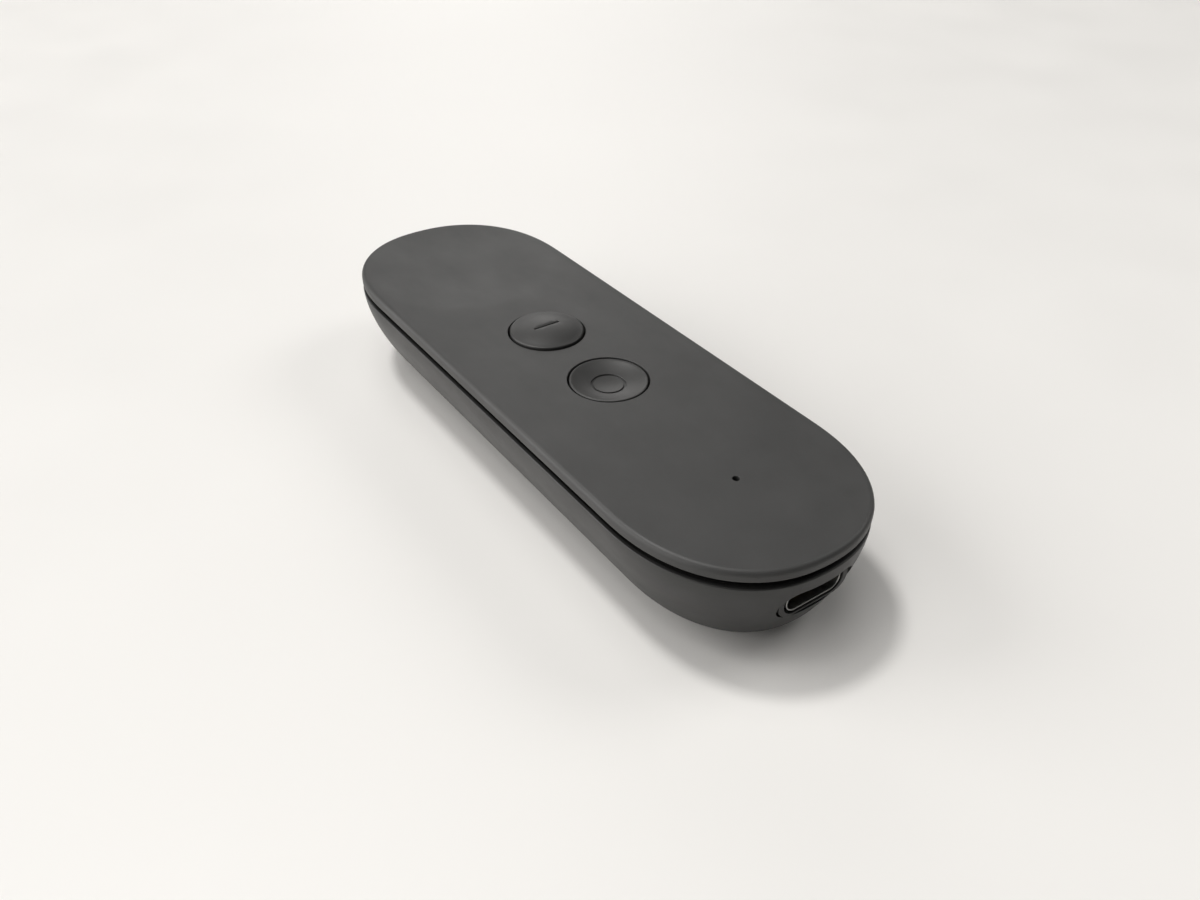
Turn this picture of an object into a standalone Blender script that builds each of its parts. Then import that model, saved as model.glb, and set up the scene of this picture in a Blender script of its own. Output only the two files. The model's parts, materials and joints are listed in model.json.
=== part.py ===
"""Handheld VR motion controller: a pebble-shaped shell under a floating touch cover.

+Y is the pointing direction (touchpad end), -Y the charging port end, +X the volume key side.
The origin is on the resting surface, under the middle of the body.
"""

import math

import bmesh
import bpy
from mathutils import Matrix, Vector

MM = 0.001

# Outline, seen from above: straight flanks joined by superellipse ends
LENGTH = 105.0 * MM
WIDTH = 34.6 * MM
FLANK_HALF = 32.0 * MM
END_POWER = 2.23
END_STEPS = 20

# Heights above the resting surface
COVER_TOP = 16.2 * MM
COVER_EDGE = 1.7 * MM
SHADOW_GAP = 0.9 * MM
COVER_PLATE = 1.3 * MM
COVER_BOTTOM = COVER_TOP - COVER_EDGE
COVER_INSIDE = COVER_TOP - COVER_PLATE
RIM = COVER_BOTTOM - SHADOW_GAP
DECK_TOP = 12.5 * MM
DECK_BOTTOM = 11.5 * MM
BOARD_TOP = 7.0 * MM
BOARD_BOTTOM = 6.0 * MM
PART_GAP = 0.3 * MM

# Belly of the lower shell: how far its sides and ends draw in, and the round onto the underside
SIDE_DRAW = 6.0 * MM
END_DRAW = 5.0 * MM
BELLY_POWER = 1.7
BELLY_ROUND = 3.5 * MM
BELLY_STEPS = 6
WALL = 1.5 * MM
RIM_LIP = 0.7 * MM
RIM_STEP = 0.5 * MM

# Cover
EDGE_ROUND = 0.75 * MM
SKIRT = 1.3 * MM
PAD_Y = 35.9 * MM
PAD_RADIUS = 15.9 * MM
PAD_DEPTH = 0.55 * MM

# Face buttons
APP_Y = 8.4 * MM
HOME_Y = -8.1 * MM
BUTTON_HOLE = 5.95 * MM
BUTTON_RADIUS = 5.65 * MM
APP_RISE = 1.1 * MM
APP_EDGE = 0.35 * MM
HOME_DIP = 0.95 * MM
FLANGE_RADIUS = 6.7 * MM
FLANGE_BOTTOM = 13.5 * MM
FLANGE_THICK = 0.7 * MM
STEM_RADIUS = 2.0 * MM
STEM_BOTTOM = 9.9 * MM
MARK_DEPTH = 0.18 * MM
BAR_HALF = 2.2 * MM
RING_INNER = 2.2 * MM
RING_OUTER = 2.55 * MM

# Status light
LIGHT_Y = -35.7 * MM
LIGHT_HOLE = 0.5 * MM

# Cover pivot
PIVOT_Y = -44.0 * MM
PIVOT_Z = 13.6 * MM
PIN_RADIUS = 0.5 * MM
PIN_HALF = 8.6 * MM
LUG_X = 5.2 * MM
EAR_X = 7.6 * MM
LUG_THICK = 1.4 * MM

# Volume keys on the right flank
KEY_Z = 9.6 * MM
KEY_LENGTH = 9.0 * MM
KEY_HEIGHT = 2.4 * MM
KEY_OUTER_X = 17.1 * MM
KEY_INNER_X = 13.3 * MM
KEY_FLANGE = 0.5 * MM
KEY_SWITCH_X = 12.7 * MM
KEY_BOARD_X = 11.6 * MM
KEYS = {"volume_up": 9.5 * MM, "volume_down": -2.5 * MM}

# Charging port
PORT_Z = 9.1 * MM
PORT_FACE_Y = -50.75 * MM
PORT_DEPTH = 7.4 * MM
PORT_WIDTH = 8.94 * MM
PORT_HEIGHT = 3.26 * MM
PORT_SHEET = 0.3 * MM
BEZEL_WIDTH = 11.3 * MM
BEZEL_HEIGHT = 4.55 * MM
BEZEL_FACE_Y = -50.8 * MM
BEZEL_BACK_Y = -49.4 * MM
GROOVE = 0.38 * MM

# Frame screws
SCREW_X = 10.0 * MM
SCREW_YS = (28.0 * MM, -30.0 * MM)
SCREW_RADIUS = 0.7 * MM

# Tactile switches on the main board
SWITCH_SIDE = 4.8 * MM
SWITCH_HEIGHT = 1.5 * MM
PLUNGER_RADIUS = 1.1 * MM
PLUNGER_BOTTOM = 8.5 * MM
PLUNGER_TOP = 9.6 * MM

FINISHES = {
    "cover_plastic": ((0.075, 0.075, 0.072), 0.55, 0.0),
    "shell_plastic": ((0.085, 0.085, 0.080), 0.60, 0.0),
    "button_plastic": ((0.080, 0.080, 0.078), 0.45, 0.0),
    "frame_plastic": ((0.012, 0.012, 0.012), 0.60, 0.0),
    "circuit_board": ((0.010, 0.060, 0.030), 0.45, 0.0),
    "chip_black": ((0.015, 0.015, 0.016), 0.50, 0.0),
    "shield_steel": ((0.55, 0.55, 0.54), 0.35, 1.0),
    "contact_gold": ((0.80, 0.58, 0.22), 0.30, 1.0),
    "cell_wrap": ((0.42, 0.43, 0.45), 0.40, 0.6),
    "foam_grey": ((0.10, 0.10, 0.11), 0.95, 0.0),
    "flex_amber": ((0.42, 0.19, 0.04), 0.40, 0.0),
    "wire_red": ((0.45, 0.02, 0.02), 0.45, 0.0),
    "wire_black": ((0.02, 0.02, 0.02), 0.45, 0.0),
    "light_guide": ((0.25, 0.26, 0.27), 0.25, 0.0),
}


# ---------------------------------------------------------------- scene and materials


def clear_scene():
    for old in list(bpy.data.objects):
        bpy.data.objects.remove(old, do_unlink=True)


def new_collection(name):
    made = bpy.data.collections.new(name)
    bpy.context.scene.collection.children.link(made)
    return made


def material(name):
    found = bpy.data.materials.get(name)
    if found:
        return found
    color, roughness, metallic = FINISHES[name]
    made = bpy.data.materials.new(name)
    made.use_nodes = True
    shader = made.node_tree.nodes["Principled BSDF"]
    shader.inputs["Base Color"].default_value = (*color, 1.0)
    shader.inputs["Roughness"].default_value = roughness
    shader.inputs["Metallic"].default_value = metallic
    made.diffuse_color = (*color, 1.0)
    return made


def add_part(name, mesh, finish, location=(0, 0, 0)):
    obj = bpy.data.objects.new(name, mesh)
    obj.location = location
    PARTS.objects.link(obj)
    mesh.materials.clear()
    mesh.materials.append(material(finish))
    return obj


def add_cutter(name, mesh, location=(0, 0, 0)):
    obj = bpy.data.objects.new(name, mesh)
    obj.location = location
    obj.hide_render = True
    obj.display_type = "WIRE"
    CUTTERS.objects.link(obj)
    return obj


def combine(obj, other, operation):
    step = obj.modifiers.new(f"{operation.lower()}_{other.name}", "BOOLEAN")
    step.operation = operation
    step.object = other
    return obj


def cut(obj, *cutters):
    for cutter in cutters:
        combine(obj, cutter, "DIFFERENCE")
    return obj


def join(obj, *others):
    for other in others:
        combine(obj, other, "UNION")
    return obj


# ---------------------------------------------------------------- shapes


def signed_power(value, power):
    return math.copysign(abs(value) ** power, value)


def outline(inset=0.0, end_inset=None):
    """Plan outline of the body, drawn in at its sides and ends, anticlockwise from the right flank."""
    half_width = WIDTH / 2 - inset
    end_depth = LENGTH / 2 - FLANK_HALF - (inset if end_inset is None else end_inset)
    points = []
    for side in (1, -1):
        for step in range(END_STEPS + 1):
            angle = math.pi * step / END_STEPS
            across = side * half_width * signed_power(math.cos(angle), 2 / END_POWER)
            along = side * (FLANK_HALF + end_depth * abs(math.sin(angle)) ** (2 / END_POWER))
            points.append((across, along))
    return points


def loft(name, rings):
    """Closed mesh through rings of points with the same count, listed from the top down."""
    shape = bmesh.new()
    loops = [[shape.verts.new(point) for point in ring] for ring in rings]
    count = len(loops[0])
    for upper, lower in zip(loops, loops[1:]):
        for i in range(count):
            j = (i + 1) % count
            shape.faces.new((upper[i], lower[i], lower[j], upper[j]))
    shape.faces.new(loops[0])
    shape.faces.new(list(reversed(loops[-1])))
    bmesh.ops.recalc_face_normals(shape, faces=shape.faces)
    mesh = bpy.data.meshes.new(name)
    shape.to_mesh(mesh)
    shape.free()
    return mesh


def level_ring(height, inset, end_inset=None):
    return [(x, y, height) for x, y in outline(inset, end_inset)]


def box_mesh(name, low, high, bevel=0.0):
    """Box between two corners, with its edges chamfered where a bevel is given."""
    size = Vector(high) - Vector(low)
    shape = bmesh.new()
    bmesh.ops.create_cube(shape, size=1.0)
    bmesh.ops.scale(shape, vec=size, verts=shape.verts)
    bmesh.ops.translate(shape, vec=(Vector(low) + Vector(high)) / 2, verts=shape.verts)
    if bevel:
        bmesh.ops.bevel(shape, geom=shape.edges, offset=bevel, segments=1, affect="EDGES")
    mesh = bpy.data.meshes.new(name)
    shape.to_mesh(mesh)
    shape.free()
    return mesh


def cylinder_mesh(name, radius, start, end, segments=24):
    """Cylinder between two points that share two coordinates."""
    start = Vector(start)
    axis = Vector(end) - start
    shape = bmesh.new()
    bmesh.ops.create_cone(
        shape, cap_ends=True, segments=segments, radius1=radius, radius2=radius, depth=axis.length
    )
    turn = axis.to_track_quat("Z", "Y").to_matrix().to_4x4()
    bmesh.ops.transform(
        shape, matrix=Matrix.Translation(start + axis / 2) @ turn, verts=shape.verts
    )
    mesh = bpy.data.meshes.new(name)
    shape.to_mesh(mesh)
    shape.free()
    return mesh


def profile_mesh(name, profile):
    """Open line of (radius, height) pairs, to be turned about Z."""
    mesh = bpy.data.meshes.new(name)
    mesh.from_pydata(
        [(radius, 0, height) for radius, height in profile],
        [(i, i + 1) for i in range(len(profile) - 1)],
        [],
    )
    mesh.update()
    return mesh


def spin(obj, segments):
    step = obj.modifiers.new("spin", "SCREW")
    step.steps = segments
    step.render_steps = segments
    step.use_merge_vertices = True
    step.merge_threshold = 0.00001
    return obj


def turned_part(name, profile, finish, location, segments=32):
    return spin(add_part(name, profile_mesh(name, profile), finish, location), segments)


def turned_cutter(name, profile, location, segments=32):
    return spin(add_cutter(name, profile_mesh(name, profile), location), segments)


def capsule_points(width, height, steps=8):
    """Flat-sided oval with round ends, in its own plane."""
    radius = height / 2
    offset = width / 2 - radius
    points = []
    for side, start in ((1, -math.pi / 2), (-1, math.pi / 2)):
        for step in range(steps + 1):
            angle = start + math.pi * step / steps
            points.append((side * offset + radius * math.cos(angle), radius * math.sin(angle)))
    return points


def plate_mesh(name, points, thickness):
    """Flat outline filled as a 2D curve, extruded both ways from its plane and turned into a mesh."""
    curve = bpy.data.curves.new(name, "CURVE")
    curve.dimensions = "2D"
    curve.fill_mode = "BOTH"
    curve.extrude = thickness / 2
    spline = curve.splines.new("POLY")
    spline.points.add(len(points) - 1)
    for knot, (x, y) in zip(spline.points, points):
        knot.co = (x, y, 0, 1)
    spline.use_cyclic_u = True
    guide = bpy.data.objects.new(name, curve)
    bpy.context.scene.collection.objects.link(guide)
    bpy.context.view_layer.update()
    mesh = bpy.data.meshes.new_from_object(guide.evaluated_get(bpy.context.evaluated_depsgraph_get()))
    bpy.data.objects.remove(guide)
    shape = bmesh.new()
    shape.from_mesh(mesh)
    bmesh.ops.remove_doubles(shape, verts=shape.verts, dist=0.000001)
    bmesh.ops.recalc_face_normals(shape, faces=shape.faces)
    shape.to_mesh(mesh)
    shape.free()
    mesh.name = name
    return mesh


def level_plate(name, points, bottom, top):
    mesh = plate_mesh(name, points, top - bottom)
    mesh.transform(Matrix.Translation((0, 0, (bottom + top) / 2)))
    return mesh


def upright_plate(name, points, front_y, back_y):
    """Plate whose outline lies in the X-Z plane, between two Y positions."""
    mesh = plate_mesh(name, points, abs(back_y - front_y))
    mesh.transform(Matrix.Rotation(math.pi / 2, 4, "X"))
    mesh.transform(Matrix.Translation((0, (front_y + back_y) / 2, 0)))
    return mesh


def port_oval(name, width, height, front_y, back_y):
    mesh = upright_plate(name, capsule_points(width, height), front_y, back_y)
    mesh.transform(Matrix.Translation((0, 0, PORT_Z)))
    return mesh


def wire(name, points, radius, finish):
    """Round wire along a smooth curve through a few points, resampled evenly."""
    knots = [Vector(point) for point in points]
    padded = [knots[0] * 2 - knots[1], *knots, knots[-1] * 2 - knots[-2]]
    smooth = []
    per_span = 5
    for a, b, c, d in zip(padded, padded[1:], padded[2:], padded[3:]):
        for step in range(per_span):
            t = step / per_span
            bend = 2 * a - 5 * b + 4 * c - d
            twist = 3 * b - a - 3 * c + d
            smooth.append((2 * b + (c - a) * t + bend * t**2 + twist * t**3) / 2)
    smooth.append(knots[-1])
    curve = bpy.data.curves.new(name, "CURVE")
    curve.dimensions = "3D"
    curve.bevel_depth = radius
    curve.bevel_resolution = 1
    curve.use_fill_caps = True
    spline = curve.splines.new("POLY")
    spline.points.add(len(smooth) - 1)
    for knot, point in zip(spline.points, smooth):
        knot.co = (*point, 1)
    obj = bpy.data.objects.new(name, curve)
    PARTS.objects.link(obj)
    curve.materials.append(material(finish))
    return obj


# ---------------------------------------------------------------- casings


def belly_ring(height, wall):
    """Ring of the belly at a height; a wall gives the inner surface at the matching height."""
    depth = 1 - height / RIM
    turn = max(1 - height / BELLY_ROUND, 0.0)
    under = BELLY_ROUND * (1 - math.sqrt(1 - turn**2))
    side = SIDE_DRAW * depth**BELLY_POWER + under + wall
    end = END_DRAW * depth**BELLY_POWER + under + wall
    return level_ring(wall + (RIM - wall) * height / RIM, side, end)


def belly_rings(wall=0.0):
    """Rings of the belly from the rim down to the flat underside."""
    heights = [RIM + (BELLY_ROUND - RIM) * step / BELLY_STEPS for step in range(BELLY_STEPS)]
    turn = math.pi / 2 / BELLY_STEPS
    heights += [BELLY_ROUND * (1 - math.sin(turn * step)) for step in range(BELLY_STEPS + 1)]
    return [belly_ring(height, wall) for height in heights]


def bottom_shell():
    shell = add_part("bottom_shell", loft("bottom_shell", belly_rings()), "shell_plastic")
    above_rim = level_ring(RIM + 2 * MM, WALL)
    cut(shell, add_cutter("shell_inside", loft("shell_inside", [above_rim, *belly_rings(WALL)])))
    step = level_plate("rim_step", outline(RIM_LIP), RIM - RIM_STEP, RIM + MM)
    cut(shell, add_cutter("rim_step", step))
    for index, (x, y) in enumerate(screw_places()):
        pillar = cylinder_mesh("boss", 2.2 * MM, (x, y, 2.6 * MM), (x, y, BOARD_BOTTOM - PART_GAP))
        boss = add_cutter(f"boss_{index}", pillar)
        pilot = add_cutter(
            f"pilot_{index}", cylinder_mesh("pilot", 0.85 * MM, (x, y, 3.4 * MM), (x, y, BOARD_TOP), 16)
        )
        join(shell, boss)
        cut(shell, pilot)
    port_width = BEZEL_WIDTH + 2 * PART_GAP
    port_height = BEZEL_HEIGHT + 2 * PART_GAP
    cut(shell, add_cutter("port_hole", port_oval("port_hole", port_width, port_height, -56 * MM, -47 * MM)))
    length, height = KEY_LENGTH + 0.5 * MM, KEY_HEIGHT + 0.5 * MM
    for name, y in KEYS.items():
        cut(shell, key_prism(f"{name}_window", y, length, height, 12 * MM, 20 * MM))
    return shell


def screw_places():
    return [(side * SCREW_X, y) for y in SCREW_YS for side in (1, -1)]


def top_cover():
    lip = 0.15 * MM
    rings = []
    for step in range(4):
        angle = math.pi / 2 * step / 3
        rings.append(
            level_ring(COVER_TOP - EDGE_ROUND * (1 - math.cos(angle)), EDGE_ROUND * (1 - math.sin(angle)))
        )
    rings.append(level_ring(COVER_BOTTOM + lip, 0))
    rings.append(level_ring(COVER_BOTTOM, lip))
    cover = add_part("top_cover", loft("top_cover", rings), "cover_plastic")
    pocket = level_plate("cover_pocket", outline(SKIRT), COVER_BOTTOM - MM, COVER_INSIDE)
    cut(cover, add_cutter("cover_pocket", pocket))
    cut(cover, pad_cutter())
    for name, y, radius, segments in (
        ("app_hole", APP_Y, BUTTON_HOLE, 40),
        ("home_hole", HOME_Y, BUTTON_HOLE, 40),
        ("light_hole", LIGHT_Y, LIGHT_HOLE, 16),
    ):
        hole = cylinder_mesh(name, radius, (0, y, COVER_BOTTOM), (0, y, COVER_TOP + MM), segments)
        cut(cover, add_cutter(name, hole))
    for side in (1, -1):
        x = side * LUG_X
        lug = box_mesh(
            "lug",
            (x - LUG_THICK / 2, PIVOT_Y - 1.2 * MM, PIVOT_Z - 0.9 * MM),
            (x + LUG_THICK / 2, PIVOT_Y + 1.2 * MM, COVER_INSIDE + 0.5 * MM),
        )
        join(cover, add_cutter(f"lug_{side}", lug))
    cut(cover, pivot_cutter("lug_bore", 7 * MM))
    return cover


def pad_cutter():
    """Lens that hollows the round touch dish into the cover."""
    sphere = (PAD_RADIUS**2 + PAD_DEPTH**2) / (2 * PAD_DEPTH)
    profile = [(0, COVER_TOP + MM), (PAD_RADIUS, COVER_TOP + MM)]
    steps = 5
    for step in range(steps, -1, -1):
        radius = PAD_RADIUS * step / steps
        sag = sphere - math.sqrt(sphere**2 - radius**2)
        profile.append((radius, COVER_TOP - PAD_DEPTH + sag))
    return turned_cutter("pad_dish", profile, (0, PAD_Y, 0), 48)


def pivot_cutter(name, half_length):
    bore = PIN_RADIUS + 0.1 * MM
    mesh = cylinder_mesh(name, bore, (-half_length, PIVOT_Y, PIVOT_Z), (half_length, PIVOT_Y, PIVOT_Z), 16)
    return add_cutter(name, mesh)


def mid_frame():
    """Inner chassis: a deck under the cover with a raised edge, screw tubes and pivot ears."""
    edge_top = COVER_INSIDE - 0.6 * MM
    outer = WALL + 2 * PART_GAP
    plate = level_plate("mid_frame", outline(outer), DECK_BOTTOM, edge_top)
    frame = add_part("mid_frame", plate, "frame_plastic")
    well = level_plate("frame_well", outline(outer + 1.2 * MM), DECK_TOP, COVER_TOP)
    cut(frame, add_cutter("frame_well", well))
    for index, (x, y) in enumerate(screw_places()):
        tube = cylinder_mesh("tube", 2.0 * MM, (x, y, BOARD_TOP + PART_GAP), (x, y, DECK_TOP - 0.2 * MM))
        join(frame, add_cutter(f"tube_{index}", tube))
        bore = cylinder_mesh("tube_bore", 0.95 * MM, (x, y, BOARD_TOP), (x, y, COVER_TOP), 16)
        cut(frame, add_cutter(f"tube_bore_{index}", bore))
    for side in (1, -1):
        x = side * EAR_X
        ear = box_mesh(
            "ear",
            (x - LUG_THICK / 2, PIVOT_Y - 1.4 * MM, DECK_BOTTOM + 0.3 * MM),
            (x + LUG_THICK / 2, PIVOT_Y + 1.4 * MM, PIVOT_Z + 0.95 * MM),
        )
        join(frame, add_cutter(f"ear_{side}", ear))
    cut(frame, pivot_cutter("ear_bore", 10 * MM))
    for name, y, radius in (
        ("app_guide", APP_Y, STEM_RADIUS + 0.4 * MM),
        ("home_guide", HOME_Y, STEM_RADIUS + 0.4 * MM),
        ("touch_guide", PAD_Y, STEM_RADIUS + 0.6 * MM),
        ("light_guide_hole", LIGHT_Y, 1.1 * MM),
    ):
        hole = cylinder_mesh(name, radius, (0, y, DECK_BOTTOM - MM), (0, y, DECK_TOP + MM))
        cut(frame, add_cutter(name, hole))
    low, high = (-4 * MM, 19.4 * MM, DECK_BOTTOM - MM), (4 * MM, 26 * MM, DECK_TOP + MM)
    flex_slot = box_mesh("flex_slot", low, high)
    cut(frame, add_cutter("flex_slot", flex_slot))
    port_room = box_mesh("port_room", (-7 * MM, -56 * MM, 8 * MM), (7 * MM, -48.2 * MM, 12.9 * MM))
    cut(frame, add_cutter("port_room", port_room))
    return frame


# ---------------------------------------------------------------- cover pivot and touch parts


def pivot_pin():
    mesh = cylinder_mesh(
        "cover_pivot_pin", PIN_RADIUS, (-PIN_HALF, PIVOT_Y, PIVOT_Z), (PIN_HALF, PIVOT_Y, PIVOT_Z), 16
    )
    return add_part("cover_pivot_pin", mesh, "shield_steel")


def touch_board():
    profile = [(0, COVER_INSIDE - PART_GAP), (13 * MM, COVER_INSIDE - PART_GAP)]
    profile += [(13 * MM, COVER_INSIDE - 0.9 * MM), (0, COVER_INSIDE - 0.9 * MM)]
    return turned_part("touch_board", profile, "circuit_board", (0, PAD_Y, 0), 40)


def touch_actuator():
    top = COVER_INSIDE - 0.9 * MM - PART_GAP
    profile = [(0, top), (3.2 * MM, top), (3.2 * MM, top - 0.4 * MM), (STEM_RADIUS, top - 0.6 * MM)]
    profile += [(STEM_RADIUS, STEM_BOTTOM + 0.3 * MM), (STEM_RADIUS - 0.3 * MM, STEM_BOTTOM)]
    profile += [(0, STEM_BOTTOM)]
    return turned_part("touch_actuator", profile, "frame_plastic", (0, PAD_Y, 0), 24)


def touch_flex():
    """Ribbon from under the touch board, down through the deck to its socket."""
    thick = 0.2 * MM
    path = [(28.5, 13.4), (23.6, 13.4), (22.4, 13.0), (21.9, 12.2)]
    path += [(21.9, 9.6), (22.3, 8.9), (23.2, 8.6), (24.4, 8.6)]
    path = [Vector((y * MM, z * MM)) for y, z in path]
    left, right = [], []
    for i, point in enumerate(path):
        along = (path[min(i + 1, len(path) - 1)] - path[max(i - 1, 0)]).normalized()
        normal = Vector((-along.y, along.x)) * thick / 2
        left.append(tuple(point + normal))
        right.append(tuple(point - normal))
    mesh = plate_mesh("touch_flex", left + right[::-1], 5 * MM)
    mesh.transform(Matrix(((0, 0, 1, 0), (1, 0, 0, 0), (0, 1, 0, 0), (0, 0, 0, 1))))
    return add_part("touch_flex", mesh, "flex_amber")


# ---------------------------------------------------------------- face buttons


def flange_and_stem():
    """Lower half of a face button's profile: retaining flange, then the stem."""
    return [
        (BUTTON_RADIUS, FLANGE_BOTTOM + FLANGE_THICK),
        (FLANGE_RADIUS, FLANGE_BOTTOM + FLANGE_THICK),
        (FLANGE_RADIUS, FLANGE_BOTTOM),
        (STEM_RADIUS, FLANGE_BOTTOM),
        (STEM_RADIUS, STEM_BOTTOM),
        (0, STEM_BOTTOM),
    ]


def crowned_profile(center_height, edge_height, corner, steps=5):
    """Top surface of a button from its middle out to a rounded corner."""
    profile = []
    reach = BUTTON_RADIUS - corner
    for step in range(steps + 1):
        radius = reach * step / steps
        share = (radius / reach) ** 2
        profile.append((radius, center_height + (edge_height - center_height) * share))
    for step in range(1, 4):
        angle = math.pi / 2 * step / 3
        profile.append((reach + corner * math.sin(angle), edge_height - corner * (1 - math.cos(angle))))
    return profile


def app_button():
    profile = crowned_profile(COVER_TOP + APP_RISE, COVER_TOP + APP_EDGE, 0.4 * MM) + flange_and_stem()
    button = turned_part("app_button", profile, "button_plastic", (0, APP_Y, 0), 40)
    top = COVER_TOP + APP_RISE
    mark = box_mesh(
        "app_mark", (-BAR_HALF, APP_Y - 0.2 * MM, top - MARK_DEPTH), (BAR_HALF, APP_Y + 0.2 * MM, top + MM)
    )
    return cut(button, add_cutter("app_mark", mark))


def home_button():
    profile = crowned_profile(COVER_TOP - HOME_DIP, COVER_TOP, 0.15 * MM) + flange_and_stem()
    button = turned_part("home_button", profile, "button_plastic", (0, HOME_Y, 0), 40)
    low = COVER_TOP - HOME_DIP - 0.08 * MM
    ring = [(RING_INNER, low), (RING_INNER, COVER_TOP)]
    ring += [(RING_OUTER, COVER_TOP), (RING_OUTER, low), (RING_INNER, low)]
    return cut(button, turned_cutter("home_mark", ring, (0, HOME_Y, 0)))


# ---------------------------------------------------------------- volume keys


def key_prism(name, y, length, height, inner_x, outer_x, finish=None):
    """Pill-shaped prism on the right flank, its axis along X."""
    mesh = plate_mesh(name, capsule_points(length, height, 6), outer_x - inner_x)
    mesh.transform(Matrix(((0, 0, 1, (inner_x + outer_x) / 2), (1, 0, 0, y), (0, 1, 0, KEY_Z), (0, 0, 0, 1))))
    return add_part(name, mesh, finish) if finish else add_cutter(name, mesh)


def volume_key(name, y):
    key = key_prism(f"{name}_key", y, KEY_LENGTH, KEY_HEIGHT, KEY_INNER_X, KEY_OUTER_X, "button_plastic")
    edge = key.modifiers.new("edge", "BEVEL")
    edge.width = 0.25 * MM
    edge.segments = 2
    edge.limit_method = "ANGLE"
    edge.angle_limit = math.radians(50)
    flange_x = KEY_INNER_X + KEY_FLANGE
    flange = key_prism(f"{name}_flange", y, KEY_LENGTH + MM, KEY_HEIGHT + MM, KEY_INNER_X, flange_x)
    return join(key, flange)


def volume_switch(name, y):
    """Low switch facing the flank, with a round well and the plunger that runs in it."""
    low_x = KEY_SWITCH_X - 0.8 * MM
    body = box_mesh(
        f"{name}_switch",
        (low_x, y - 1.6 * MM, KEY_Z - 1.2 * MM),
        (KEY_SWITCH_X, y + 1.6 * MM, KEY_Z + 1.2 * MM),
        0.1 * MM,
    )
    switch = add_part(f"{name}_switch", body, "chip_black")
    bore = cylinder_mesh("bore", 0.9 * MM, (low_x + 0.2 * MM, y, KEY_Z), (KEY_SWITCH_X + MM, y, KEY_Z), 16)
    cut(switch, add_cutter(f"{name}_switch_bore", bore))
    start, end = (low_x + 0.5 * MM, y, KEY_Z), (KEY_SWITCH_X + 0.25 * MM, y, KEY_Z)
    add_part(f"{name}_plunger", cylinder_mesh(f"{name}_plunger", 0.65 * MM, start, end, 16), "frame_plastic")


def side_key_board():
    low = (KEY_BOARD_X - 0.5 * MM, -8.5 * MM, 7.3 * MM)
    board = box_mesh("side_key_board", low, (KEY_BOARD_X, 15.5 * MM, 11.2 * MM))
    return add_part("side_key_board", board, "circuit_board")


# ---------------------------------------------------------------- main board and what it carries


def main_board():
    board = add_part(
        "main_board", level_plate("main_board", outline(4.5 * MM), BOARD_BOTTOM, BOARD_TOP), "circuit_board"
    )
    for index, (x, y) in enumerate(screw_places()):
        hole = cylinder_mesh("board_hole", 1.0 * MM, (x, y, BOARD_BOTTOM - MM), (x, y, BOARD_TOP + MM), 16)
        cut(board, add_cutter(f"board_hole_{index}", hole))
    low, high = (-7 * MM, 19.2 * MM, BOARD_BOTTOM - MM), (-2 * MM, 21.4 * MM, BOARD_TOP + MM)
    slot = box_mesh("lead_slot", low, high)
    return cut(board, add_cutter("lead_slot", slot))


def tact_switch(name, y):
    """Square switch body with a round well, and the plunger that runs in it."""
    bottom = BOARD_TOP + PART_GAP
    half = SWITCH_SIDE / 2
    body = box_mesh(
        f"{name}_switch", (-half, y - half, bottom), (half, y + half, bottom + SWITCH_HEIGHT), 0.15 * MM
    )
    switch = add_part(f"{name}_switch", body, "chip_black")
    well = cylinder_mesh("well", 1.4 * MM, (0, y, bottom + 0.4 * MM), (0, y, bottom + 3 * MM), 20)
    cut(switch, add_cutter(f"{name}_switch_well", well))
    plunger = [(0, PLUNGER_TOP), (PLUNGER_RADIUS, PLUNGER_TOP)]
    plunger += [(PLUNGER_RADIUS, PLUNGER_BOTTOM), (0, PLUNGER_BOTTOM)]
    turned_part(f"{name}_plunger", plunger, "frame_plastic", (0, y, 0), 20)


def board_parts():
    """Chips, sockets and cans that stand on the main board: middle, size and finish."""
    seat = BOARD_TOP + PART_GAP
    for name, x, y, size, finish in (
        ("radio_shield", -5.5, -21.0, (11.0, 10.0, 1.8), "shield_steel"),
        ("motion_sensor", 7.5, 1.0, (3.0, 3.0, 0.9), "chip_black"),
        ("compass_chip", 8.0, 20.0, (2.0, 2.0, 0.7), "chip_black"),
        ("charge_chip", 6.5, -36.0, (4.0, 4.0, 0.9), "chip_black"),
        ("status_light", 0.0, LIGHT_Y / MM, (1.6, 1.0, 0.7), "light_guide"),
        ("flex_socket", 0.0, 25.9, (6.4, 2.2, 1.2), "chip_black"),
        ("battery_socket", -9.5, 17.4, (4.2, 3.0, 1.6), "chip_black"),
    ):
        half = Vector((size[0] / 2, size[1] / 2, 0)) * MM
        middle = Vector((x * MM, y * MM, seat))
        body = box_mesh(name, middle - half, middle + half + Vector((0, 0, size[2] * MM)), 0.12 * MM)
        add_part(name, body, finish)


def light_pipe():
    top = COVER_INSIDE - 0.4 * MM
    profile = [(0, top), (0.8 * MM, top), (0.8 * MM, DECK_TOP + 0.9 * MM), (1.6 * MM, DECK_TOP + 0.9 * MM)]
    profile += [(1.6 * MM, DECK_TOP + PART_GAP), (0.8 * MM, DECK_TOP + PART_GAP)]
    profile += [(0.8 * MM, 8.7 * MM), (0, 8.7 * MM)]
    return turned_part("light_pipe", profile, "light_guide", (0, LIGHT_Y, 0), 16)


def antenna_strip():
    low, high = (-7 * MM, 43 * MM, DECK_TOP + 0.2 * MM), (7 * MM, 46 * MM, DECK_TOP + 0.4 * MM)
    strip = box_mesh("antenna_strip", low, high)
    return add_part("antenna_strip", strip, "flex_amber")


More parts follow.
